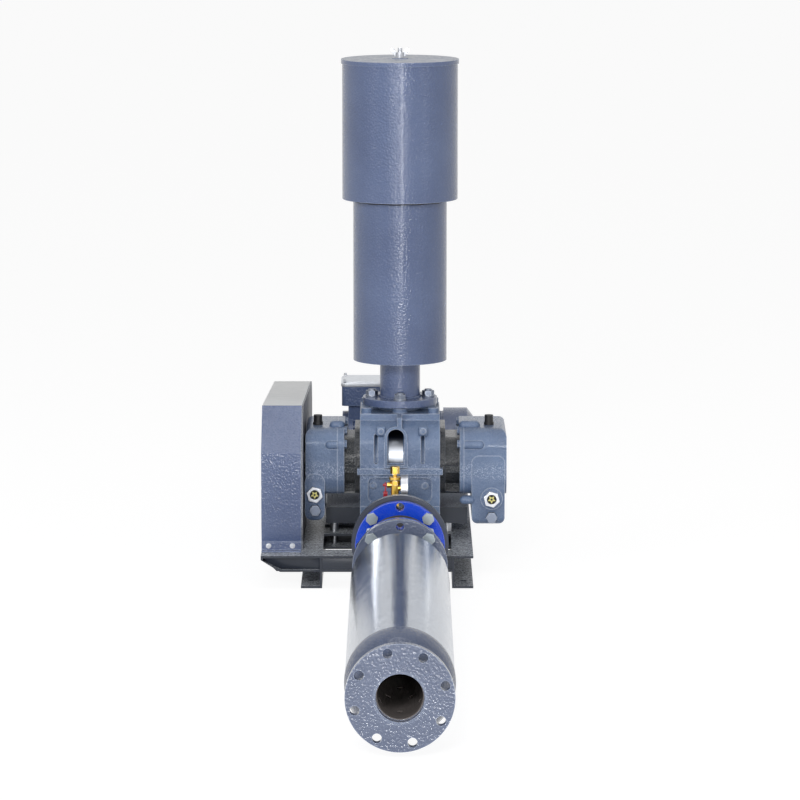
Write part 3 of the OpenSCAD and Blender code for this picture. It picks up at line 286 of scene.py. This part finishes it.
# Weld beads
# Where a pipe meets a shell or a flange the joint is a hand-laid bead under the paint, a ring
# with small even ripples.
def bead(name, centre, radius, thick, turn, material):
    ripples = int(radius * 2 * math.pi / (thick * 0.9))
    alone()
    bpy.ops.mesh.primitive_torus_add(major_segments=ripples * 2, minor_segments=10,
                                     major_radius=radius, minor_radius=thick,
                                     location=centre, rotation=turn)
    obj = bpy.context.active_object
    bpy.ops.object.mode_set(mode="EDIT")
    bpy.ops.mesh.select_all(action="DESELECT")
    bpy.ops.object.mode_set(mode="OBJECT")
    for vertex in obj.data.vertices:
        step = round(math.atan2(vertex.co.y, vertex.co.x) / (math.pi / ripples))
        vertex.select = step % 2 == 0
    bpy.ops.object.mode_set(mode="EDIT")
    bpy.ops.transform.shrink_fatten(value=-thick * 0.22)
    bpy.ops.object.mode_set(mode="OBJECT")
    settle(name, material, smooth=80)


upright, to_front, to_right = (0, 0, 0), (math.pi / 2, 0, 0), (0, math.pi / 2, 0)
axis_x, axis_y = 0.028, -0.225
line_z = 0.111
pipe_weld, pipe_bead = 0.0455, 0.0025
neck_weld, neck_bead = 0.0490, 0.0026
shell_foot, inlet_flange_top = 0.458, 0.377
shell_back, flange_back = -1.0245, -2.0985
for name, centre, turn in (("neck_weld", (axis_x, axis_y, shell_foot), upright),
                           ("inlet_flange_weld", (axis_x, axis_y, inlet_flange_top), upright),
                           ("silencer_neck_weld", (axis_x, shell_back, line_z), to_front)):
    bead(name, centre, pipe_weld, pipe_bead, turn, shell_paint)
bead("front_neck_weld", (axis_x, flange_back, line_z), neck_weld, neck_bead, to_front,
     shell_paint)

# Castings: casing, side plates, end covers and the discharge box
# Grey iron from sand moulds. The paint follows the grainy skin, and every edge is round.
def cast(name, colour, deep, wear_and_glints=1.0):
    """Casting paint. Its last argument brings pale edges and glints along a belt of heights, both
    painted highlights, and dust with painted light on upward faces.
    """
    material = begin(name)
    grain = noise(420.0, 4.0, 0.6)
    lumps = noise(70.0, 3.0)
    tone = noise(11.0, 4.0)
    dust_and_top_light = upward() * noise(40.0, 5.0, 0.7).over(0.35, 0.8) * 0.25 * wear_and_glints
    shade = blend(tone.over(0.3, 0.7), deep, colour)
    shade = blend(grain.over(0.60, 0.74) * 0.4 * wear_and_glints, shade, linear(172, 182, 202))
    # A painted highlight: pale specks in a belt of heights across the covers and the casing.
    painted_glint = noise(480.0, 2.0, 0.5).over(0.55, 0.62) * belt(0.214, 0.238) * wear_and_glints
    shade = blend(painted_glint, shade, linear(176, 190, 216))
    # Pale edges: a painted highlight along every edge.
    shade = blend(edges(0.003) * (0.1 + 0.7 * wear_and_glints), shade, linear(196, 206, 224))
    shade = blend(dust_and_top_light, shade, linear(198, 202, 210))
    dress(shade, 0.18 + grain * 0.2, bumps=[(lumps, 0.0025), (grain, 0.0014)],
          **{"Specular IOR Level": 0.55, "Coat Weight": 0.12, "Coat Roughness": 0.1})
    return material


def two_tone(obj, second, test):
    """A second finish for the faces whose middle passes the test."""
    obj.data.materials.append(second)
    for face in obj.data.polygons:
        face.material_index = int(test(face.center))


cast_paint = cast("painted_casting", linear(111, 133, 168), linear(88, 108, 141))
for node, width in (("rotor_casing", 0.0022), ("drive_end_cover", 0.003),
                    ("gear_end_cover", 0.003), ("discharge_box", 0.003)):
    rounded(node, width, cast_paint, steps=3)
# The side plates' necks are painted near black: painted shade for the deep recess between the
# casing and the covers. Their outer flanges take the casing paint.
shade_plate_paint = cast("dark_plate_paint", linear(30, 36, 44), linear(22, 27, 34), wear_and_glints=0.0)
drive_seam, gear_seam = -0.0945, 0.1595
two_tone(rounded("drive_side_plate", 0.002, shade_plate_paint, steps=3), cast_paint,
         lambda c: c.x < drive_seam)
two_tone(rounded("gear_side_plate", 0.002, shade_plate_paint, steps=3), cast_paint,
         lambda c: c.x > gear_seam)


def block(name, low, high, soft, material, steps=6, smooth=60):
    """A box between two corners with its edges rounded: a cast lump, or a plate with few steps."""
    alone()
    bpy.ops.mesh.primitive_cube_add(size=1, location=[(a + b) / 2 for a, b in zip(low, high)],
                                    scale=[b - a for a, b in zip(low, high)])
    obj = bpy.context.active_object
    bpy.ops.object.transform_apply(location=False, rotation=False, scale=True)
    round_off = obj.modifiers.new("round", "BEVEL")
    round_off.width = soft
    round_off.segments = steps
    bpy.ops.object.modifier_apply(modifier="round")
    return settle(name, material, smooth=smooth)


cover_y = axis_y - 0.118
boss_front, boss_back, boss_top = cover_y + 0.041, cover_y + 0.063, 0.331
top_soft, low_soft = 0.0105, 0.0088
block("right_top_boss", (0.158, boss_front, 0.308), (0.205, boss_back, boss_top), top_soft,
      cast_paint)
block("right_low_boss", (0.160, cover_y - 0.006, 0.152), (0.194, cover_y + 0.02, 0.170),
      low_soft, cast_paint)
block("left_top_boss", (-0.128, boss_front, 0.309), (-0.094, boss_back, boss_top), top_soft,
      cast_paint)


def hex_head(name, spot, turn, across, material):
    """A hexagon head with a chamfered top on its washer, which stands on the spot given."""
    alone()
    bpy.ops.mesh.primitive_cylinder_add(vertices=6, radius=across * 0.577, depth=across * 0.62,
                                        location=(0, 0, across * 0.42))
    head = bpy.context.active_object
    bpy.ops.object.mode_set(mode="EDIT")
    bpy.ops.mesh.select_all(action="DESELECT")
    bpy.ops.object.mode_set(mode="OBJECT")
    for face in head.data.polygons:
        face.select = face.normal.z > 0.9
    bpy.ops.object.mode_set(mode="EDIT")
    bpy.ops.mesh.inset(thickness=across * 0.07)
    bpy.ops.transform.translate(value=(0, 0, across * 0.05))
    bpy.ops.object.mode_set(mode="OBJECT")
    alone()
    bpy.ops.mesh.primitive_cylinder_add(vertices=28, radius=across * 0.78, depth=across * 0.11,
                                        location=(0, 0, across * 0.055))
    washer = bpy.context.active_object
    bpy.ops.object.mode_set(mode="EDIT")
    bpy.ops.mesh.select_all(action="SELECT")
    bpy.ops.mesh.bevel(offset=across * 0.025, segments=1)
    bpy.ops.object.mode_set(mode="OBJECT")
    alone(head, washer)
    bpy.ops.object.join()
    joined = bpy.context.active_object
    joined.rotation_euler = turn
    joined.location = spot
    settle(name, material, smooth=30)


pad_front, pad_back, pad_half = -0.3655, -0.352, 0.011
panel_front = -0.351
for i, (x, z) in enumerate(((axis_x - 0.042, 0.3185), (axis_x + 0.0506, 0.3185)), 1):
    block(f"casing_pad_{i}", (x - pad_half, pad_front, z - pad_half),
          (x + pad_half, pad_back, z + pad_half), 0.005, cast_paint)
    hex_head(f"casing_plug_{i}", (x, pad_front, z), to_front, 0.010, cast_paint)
for i, (x, z) in enumerate(((axis_x - 0.0595, 0.196), (axis_x + 0.055, 0.195)), 1):
    hex_head(f"panel_plug_{i}", (x, panel_front, z), to_front, 0.011, cast_paint)
rounded("cover_bolts", 0.0006, cast_paint, steps=2)

# Base
# Folded and rolled channels welded to a frame, with a darker satin coat that shows dust and
# small chips where it was handled. Its upward faces are also paled as a painted highlight.
def frame_coat(name, colour, deep):
    material = begin(name)
    tone = noise(9.0, 5.0)
    peel = noise(500.0, 2.0)
    chips = noise(160.0, 6.0, 0.8).over(0.70, 0.73)
    # Upward faces are paled in speckles: dust, and a painted highlight where the tops catch the
    # light.
    dust_and_top_light = upward() * noise(260.0, 5.0, 0.75).over(0.42, 0.58) * 0.9
    shade = blend(tone.over(0.3, 0.7), deep, colour)
    shade = blend(chips * 0.6, shade, linear(150, 152, 158))
    shade = blend(dust_and_top_light, shade, linear(226, 231, 238))
    dress(shade, 0.36 + peel * 0.15 + dust_and_top_light * 0.6, bumps=[(peel, 0.0002)],
          **{"Specular IOR Level": 0.25, "Coat Weight": 0.35, "Coat Roughness": 0.2})
    return material


base_paint = frame_coat("satin_frame_coat", linear(58, 64, 76), linear(46, 51, 61))
for node in ("left_rail", "right_rail", "cross_beams", "blower_feet", "motor_slide_plate"):
    rounded(node, 0.0012, base_paint)
pipe_coat = frame_coat("grey_pipe_coat", linear(78, 84, 97), linear(67, 72, 84))
rounded("discharge_pipe", 0.0012, pipe_coat)

# Front web and outrigger roots
# A flat web closes the front beam, and each outrigger runs on into the rail's channel and is
# welded to its web.
def cut(obj, spot, normal):
    """Cuts off what lies beyond a plane and closes the cut."""
    alone(obj)
    bpy.ops.object.mode_set(mode="EDIT")
    bpy.ops.mesh.select_all(action="SELECT")
    bpy.ops.mesh.bisect(plane_co=spot, plane_no=normal, use_fill=True, clear_outer=True)
    bpy.ops.object.mode_set(mode="OBJECT")


web_foot, web_top, foot_top = 0.0362, 0.0658, 0.0410
rail_lip, rail_web = -0.1869, -0.1462
sheet = {"soft": 0.0006, "material": base_paint, "steps": 2, "smooth": 40}
block("front_beam_web", (-0.1408, -0.5300, 0.0412), (0.1408, -0.5262, web_top), **sheet)
web = block("front_outrigger_web", (-0.2730, -0.5220, web_foot), (rail_web, -0.5180, web_top),
            **sheet)
cut(web, (-0.2525, -0.5200, 0.0490), (-26, 0, -42))
for end, y in (("front", -0.530), ("rear", 0.380)):
    block(f"{end}_root_web", (rail_lip, y + 0.070, web_foot), (rail_web, y + 0.0748, web_top),
          **sheet)
    block(f"{end}_root_foot", (rail_lip, y + 0.0003, web_foot),
          (rail_web, y + 0.0697, foot_top), **sheet)

# Bolts, nuts, studs and the tie rod
# Turned steel with a bright zinc coat, a little cloudy and darker in patches.
def plated(name, colour, rough=0.32, cloud=0.25):
    """Bare or plated metal, with a painted highlight along its edges. Cloud is how uneven its tone
    is.
    """
    material = begin(name)
    mist = noise(120.0, 4.0)
    lines = noise(60.0, 2.0, stretch=(1, 1, 30))
    shade = blend(mist.over(0.3, 0.75) * cloud, colour, linear(120, 122, 128))
    # Pale edges: a painted highlight along every edge.
    shade = blend(edges(0.0015) * 0.6, shade, linear(236, 240, 244))
    dress(shade, rough + mist * 0.2, 1.0, bumps=[(lines, 0.00008)])
    return material


zinc = plated("bright_zinc", linear(198, 200, 205))
rounded("sight_glass_bodies", 0.0006, zinc)
rounded("joint_bolts", 0.0006, plated("grey_zinc", linear(160, 170, 176)))
plug_steel = plated("plug_steel", linear(122, 130, 146), 0.36)
for node in ("inlet_bolts", "oil_drain_plugs"):
    rounded(node, 0.0008, plug_steel)
paint_node(zinc, "levelling_studs", "tie_rod")
rounded("wing_nut", 0.0012, zinc, steps=3, body="wing_nut")

# Belt guard
# A box of thin sheet, folded and spot welded, in the same hammered paint as the silencer.
def plastic(name, colour, rough=0.5, grain=0.0001, scale=700.0):
    """Plastic, rubber or plain paint with a fine skin. Grain is how deep the skin goes."""
    material = begin(name)
    skin = noise(scale, 3.0)
    tone = noise(30.0, 4.0)
    lighter = [min(1.0, c * 1.7 + 0.01) for c in colour[:3]] + [1.0]
    dress(blend(tone.over(0.35, 0.8) * 0.5, colour, lighter), rough + skin * 0.15,
          bumps=[(skin, grain)])
    return material


dark_steel = plated("plain_dark_steel", linear(84, 86, 92), 0.45, 0.5)
paint_node(dark_steel, "guard_back_plate")
label_white = plastic("bare_label_white", linear(232, 234, 234), 0.4, 0.00002)
label_low, label_front = 0.33, -0.38
two_tone(rounded("belt_guard", 0.0012, shell_paint), label_white,
         lambda c: c.z > label_low and c.y > label_front)
for i, x in enumerate((-0.2586, -0.2065), 1):
    hex_head(f"guard_foot_screw_{i}", (x, -0.4695, 0.0822), to_front, 0.0075, zinc)

# Motor
# A ribbed aluminium barrel with end shields, a pressed fan cowl and a terminal box, all sprayed
# the same blue-grey, with a pale lid on the box.
for node in ("motor_end_shields", "fan_cowl", "terminal_box"):
    rounded(node, 0.0012, shell_paint)
paint_node(shell_paint, "motor_housing")
pale = plated("pale_aluminium", linear(206, 209, 214), 0.35, 0.15)
rounded("terminal_box_lid", 0.0015, pale)
lid_top, motor_foot_top = 0.347, 0.089
for i, (x, y) in enumerate(((x, y) for x in (-0.100, 0.006) for y in (0.195, 0.295)), 1):
    hex_head(f"lid_screw_{i}", (x, y, lid_top), upright, 0.007, zinc)
for i, (x, y) in enumerate(((x, y) for x in (-0.048, 0.092) for y in (0.165, 0.325)), 1):
    hex_head(f"motor_bolt_{i}", (x, y, motor_foot_top), upright, 0.016, zinc)

# Name plate
# A bare plate of bright sheet in the casing's window, with a painted highlight in a belt across
# its middle and painted shade above and below.
bare_plate = begin("bare_name_plate")
painted_gleam = belt(0.266, 0.278, 0.020)
dress(blend(painted_gleam, linear(66, 70, 78), linear(186, 190, 197)), 0.34 + noise(300.0) * 0.06, 1.0)
paint_node(bare_plate, "name_plate")

# Oil filler plugs and motor fan
# Moulded black plastic with a fine grain, the plugs with their edges a little worn.
black_plastic = plastic("black_plastic", linear(24, 24, 27), 0.42)
rounded("oil_filler_plugs", 0.0008, black_plastic)
paint_node(black_plastic, "motor_fan")

# Shafts, rotors, gears, pulleys and belts
# Ground steel shafts and gears, cast-iron rotors and pulleys turned where they run, rubber belts.
ground = plated("ground_steel", linear(186, 188, 192), 0.24, 0.1)
paint_node(ground, "drive_shaft", "driven_shaft", "motor_shaft", "shaft_bearings",
           "drive_timing_gear", "driven_timing_gear")
iron = plated("machined_iron", linear(120, 121, 124), 0.42, 0.4)
paint_node(iron, "drive_rotor", "driven_rotor", "blower_pulley", "motor_pulley")
black_rubber = plastic("black_rubber", linear(27, 27, 29), 0.62, 0.0002, 500.0)
paint_node(black_rubber, "v_belts", "shaft_seals", "inlet_gasket")
filter_foot, seal_radius, seal_thick = 0.8155, 0.1045, 0.003
bead("filter_foot_seal", (axis_x, axis_y, filter_foot), seal_radius, seal_thick, upright,
     black_rubber)

# Silencer in front
# Galvanised sheet with its crystal pattern and faint rolling marks, between painted flanges.
galvanised = begin("galvanised_sheet")
flake = cells(55.0, out="Color", stretch=(1, 0.5, 1))
shine = Shade.node("ShaderNodeSeparateXYZ", {0: flake}, out="X")
stretch = noise(30.0, 5.0, 0.6, stretch=(4, 0.25, 4))
cloud = noise(6.0, 3.0)
shade = blend(shine * 0.35 + stretch * 0.35, linear(128, 137, 152), linear(190, 199, 212))
shade = blend(cloud.over(0.4, 0.7) * 0.3, shade, linear(146, 154, 168))
speck = noise(460.0, 2.0)
shade = blend(speck.over(0.45, 0.58) * 0.45, shade, linear(92, 100, 114))
dress(shade, 0.10 + shine * 0.05 + speck * 0.08, 1.0,
      bumps=[(stretch, 0.0002), (speck, 0.00006)])
paint_node(galvanised, "silencer_shell")
# The perforated tubes are a dark brownish grey: painted shade for the inside of the bore.
bore_shade = plastic("sooty_steel", linear(98, 92, 90), 0.6)
paint_node(bore_shade, "perforated_tubes")
flange_paint = hammered("hammered_flange_grey", linear(104, 113, 136), linear(92, 101, 124))
rounded("silencer_rear_flange", 0.0015, flange_paint)
# The dished end behind the front flange takes a darker copy of the flange paint: painted shade.
shaded_dished_paint = hammered("hammered_dished_end", linear(62, 77, 110), linear(54, 68, 99), dust_and_light_on_top=0.0)
two_tone(rounded("silencer_front_flange", 0.0015, flange_paint), shaded_dished_paint,
         lambda c: c.y > flange_back)

# Rubber joint and its loose flanges
# A moulded bellows with two arches, held by two backing flanges in a vivid blue gloss.
blue_gloss = hammered("vivid_blue_gloss", linear(22, 88, 240), linear(16, 70, 222),
                      160.0, 0.0001, 0.08)
rounded("joint_flanges", 0.0015, blue_gloss)
paint_node(black_rubber, "rubber_joint")

# Gauge, cock and lever
# A turned brass cock with a red dipped lever, and a small round gauge in a zinc case.
brass = plated("turned_brass", linear(232, 190, 84), 0.22, 0.15)
rounded("gauge_cock", 0.0004, brass)
red_sleeve = plastic("red_dipped_sleeve", linear(160, 18, 34), 0.3)
rounded("cock_lever", 0.0008, red_sleeve, body="cock_lever")
paint_node(zinc, "pressure_gauge")
paint_node(black_plastic, "gauge_needle")
face_white = plastic("dial_white", linear(236, 236, 232), 0.4, 0.00002)
gauge_x, gauge_y, gauge_z = 0.0340, -0.505, 0.216
dial_thick, glass_x = 0.00014, 0.0428
alone()
bpy.ops.mesh.primitive_cylinder_add(vertices=64, radius=0.0258, depth=dial_thick,
                                    location=(gauge_x + dial_thick / 2, gauge_y, gauge_z),
                                    rotation=to_right)
bpy.ops.object.mode_set(mode="EDIT")
bpy.ops.mesh.select_all(action="SELECT")
bpy.ops.mesh.bevel(offset=0.00005, segments=1)
settle("gauge_dial", face_white)
alone()
bpy.ops.mesh.primitive_cube_add(size=1, location=(0, 0, 0.0222), scale=(0.0002, 0.0006, 0.0042))
mark = bpy.context.active_object
mark.name = "dial_mark"
bpy.ops.object.transform_apply(location=True, rotation=False, scale=True)
first_mark, mark_step, mark_count = 130, 10, 27
short_mark = Matrix.Translation((0, 0, 0.0112)) @ Matrix.Scale(0.5, 4, (0, 0, 1))
for i in range(1, mark_count):
    alone(mark)
    bpy.ops.object.duplicate()
    copy = bpy.context.active_object
    if i % 5:
        copy.data.transform(short_mark)
    copy.data.transform(Matrix.Rotation(math.radians(first_mark - i * mark_step), 4, "X"))
mark.data.transform(Matrix.Rotation(math.radians(first_mark), 4, "X"))
alone(*[o for o in bpy.data.objects if o.name.startswith(mark.name)])
bpy.ops.object.join()
bpy.context.active_object.location = (gauge_x + 0.0002, gauge_y, gauge_z)
settle("gauge_marks", black_plastic)
clear = begin("gauge_glass")
dress(linear(235, 240, 240), 0.06 + noise(200.0) * 0.03, Alpha=0.18)
alone()
bpy.ops.mesh.primitive_cylinder_add(vertices=64, radius=0.0259, depth=0.0018,
                                    location=(glass_x, gauge_y, gauge_z), rotation=to_right)
bpy.ops.object.mode_set(mode="EDIT")
bpy.ops.mesh.select_all(action="SELECT")
bpy.ops.mesh.bevel(offset=0.0003, segments=2)
settle("gauge_glass", clear)

# Oil sights
# A dark lens in a black ring, with a pressed yellow star in it that shows the oil's level.
lens = plastic("dark_oil_lens", linear(34, 32, 26), 0.12, 0.00001)
paint_node(lens, "sight_lenses")
star_yellow = plastic("yellow_star", linear(228, 216, 128), 0.3, 0.00001)
for side, centre in (("left", (-0.160, -0.3552, 0.175)), ("right", (0.230, -0.3572, 0.165))):
    alone()
    bpy.ops.mesh.primitive_torus_add(major_segments=48, minor_segments=12,
                                     major_radius=0.0094, minor_radius=0.0011,
                                     location=centre, rotation=to_front)
    bpy.ops.object.mode_set(mode="EDIT")
    bpy.ops.mesh.select_all(action="SELECT")
    bpy.ops.transform.resize(value=(1, 0.8, 1), center_override=centre)
    settle(f"{side}_sight_ring", black_rubber)
    alone()
    bpy.ops.mesh.primitive_circle_add(vertices=10, radius=0.0090, fill_type="NGON",
                                      location=centre, rotation=to_front)
    star = bpy.context.active_object
    bpy.ops.object.mode_set(mode="EDIT")
    bpy.ops.mesh.select_all(action="DESELECT")
    bpy.ops.object.mode_set(mode="OBJECT")
    for i, vertex in enumerate(star.data.vertices):
        vertex.select = i % 2 == 0
    bpy.ops.object.mode_set(mode="EDIT")
    bpy.ops.transform.resize(value=(0.5, 0.5, 0.5), center_override=centre)
    bpy.ops.mesh.select_all(action="SELECT")
    bpy.ops.mesh.extrude_region_move(TRANSFORM_OT_translate={"value": (0, -0.0006, 0)})
    settle(f"{side}_sight_star", star_yellow)
    x, y, z = centre
    hex_head(f"{side}_sight_stud", (x, y - 0.0005, z), to_front, 0.0030, black_rubber)

# Filter element and sound absorbers
# Pleated paper between two moulded ends, and mineral wool packed round the perforated tubes.
def fibres(name, colour, deep, scale):
    """Matt strands, deep in tone between them."""
    material = begin(name)
    strand = noise(scale, 6.0, 0.7)
    dress(blend(strand.over(0.3, 0.7), deep, colour), 0.85, bumps=[(strand, 0.0008)])
    return material


paper = fibres("filter_paper", linear(228, 220, 198), linear(205, 195, 170), 300.0)
paint_node(paper, "filter_element")
wool = fibres("mineral_wool", linear(200, 182, 124), linear(160, 142, 90), 200.0)
paint_node(wool, "sound_absorbers")

# Floor, light and camera
# A plain pale floor under soft boxes in front and above, with two small strips whose streaks
# show in the galvanised sheet, seen from the front and a little above with a long lens.
def seen():
    """1 where the camera looks straight, in a mirror or through glass, and 0 for other light."""
    straight, mirrored, through = (
        Shade.node("ShaderNodeLightPath", out=ray)
        for ray in ("Is Camera Ray", "Is Glossy Ray", "Is Transmission Ray"))
    return straight.maths("MAXIMUM", mirrored).maths("MAXIMUM", through)


alone()
bpy.ops.mesh.primitive_plane_add(size=60, location=(0, 0, -0.0005))
floor = bpy.context.active_object
floor.name = "studio_floor"
floor_finish = begin("pale_floor")
tree = Shade.tree
tree.nodes.remove(tree.nodes["Principled BSDF"])
floor_glow = 0.76
plain = Shade.node("ShaderNodeBsdfDiffuse", {"Color": (0.8, 0.8, 0.8, 1)})
white = Shade.node("ShaderNodeEmission", {"Color": (1, 1, 1, 1), "Strength": 1.2})
mixed = Shade.node("ShaderNodeMixShader", {0: seen() * floor_glow, 1: plain, 2: white})
tree.links.new(mixed.socket, tree.nodes["Material Output"].inputs["Surface"])
floor.data.materials.append(floor_finish)

world = bpy.data.worlds.new("studio")
world.use_nodes = True
bpy.context.scene.world = world
Shade.tree = world.node_tree
sky_light = 0.22
backdrop = world.node_tree.nodes["Background"]
backdrop.inputs["Color"].default_value = (1, 1, 1, 1)
strength = sky_light + seen() * (1 - sky_light)
world.node_tree.links.new(strength.socket, backdrop.inputs["Strength"])


def lamp(name, spot, size, power, aim=(0.03, -0.6, 0.5), roll=0):
    """A soft box that points at the aim and that the camera doesn't see. Roll is in degrees."""
    light = bpy.data.lights.new(name, "AREA")
    light.shape = "RECTANGLE"
    light.size, light.size_y = size
    light.energy = power
    obj = bpy.data.objects.new(name, light)
    obj.location = spot
    obj.visible_camera = False
    facing = (Vector(aim) - Vector(spot)).to_track_quat("-Z", "Y")
    obj.rotation_euler = (facing @ Quaternion((0, 0, 1), math.radians(roll))).to_euler()
    bpy.context.scene.collection.objects.link(obj)


lamp("key_softbox", (-0.9, -7.4, 3.4), (1.6, 1.6), 170)
lamp("left_softbox", (-4.2, -3.6, 2.4), (0.8, 2.6), 32)
lamp("right_softbox", (4.2, -3.8, 2.0), (0.8, 2.4), 20)
lamp("front_strip", (0.45, -5.8, 0.45), (0.16, 0.9), 44, (0.03, -0.3, 0.7))
lamp("low_softbox", (-1.8, -9.0, 0.9), (2.4, 1.2), 50, (0.0, -0.6, 0.25))
lamp("top_softbox", (0.0, -1.0, 4.2), (2.4, 1.2), 22)
for name, x, z, wide, power, roll in (("left_reflector", -0.147, 0.276, 0.035, 0.060, 32),
                                      ("right_reflector", 0.217, 0.255, 0.014, 0.010, -24)):
    lamp(name, (x, -0.60, z), (0.19, wide), power, (x, -2.0, z), roll)

view = bpy.data.cameras.new("photo_view")
view.lens = 193.5
view.sensor_width = 36
camera = bpy.data.objects.new("photo_view", view)
camera.location = (0.028, -9.690, 1.805)
camera.rotation_euler = (math.radians(81.36), 0, 0)
bpy.context.scene.collection.objects.link(camera)
bpy.context.scene.camera = camera
bpy.context.scene.view_settings.view_transform = "Standard"
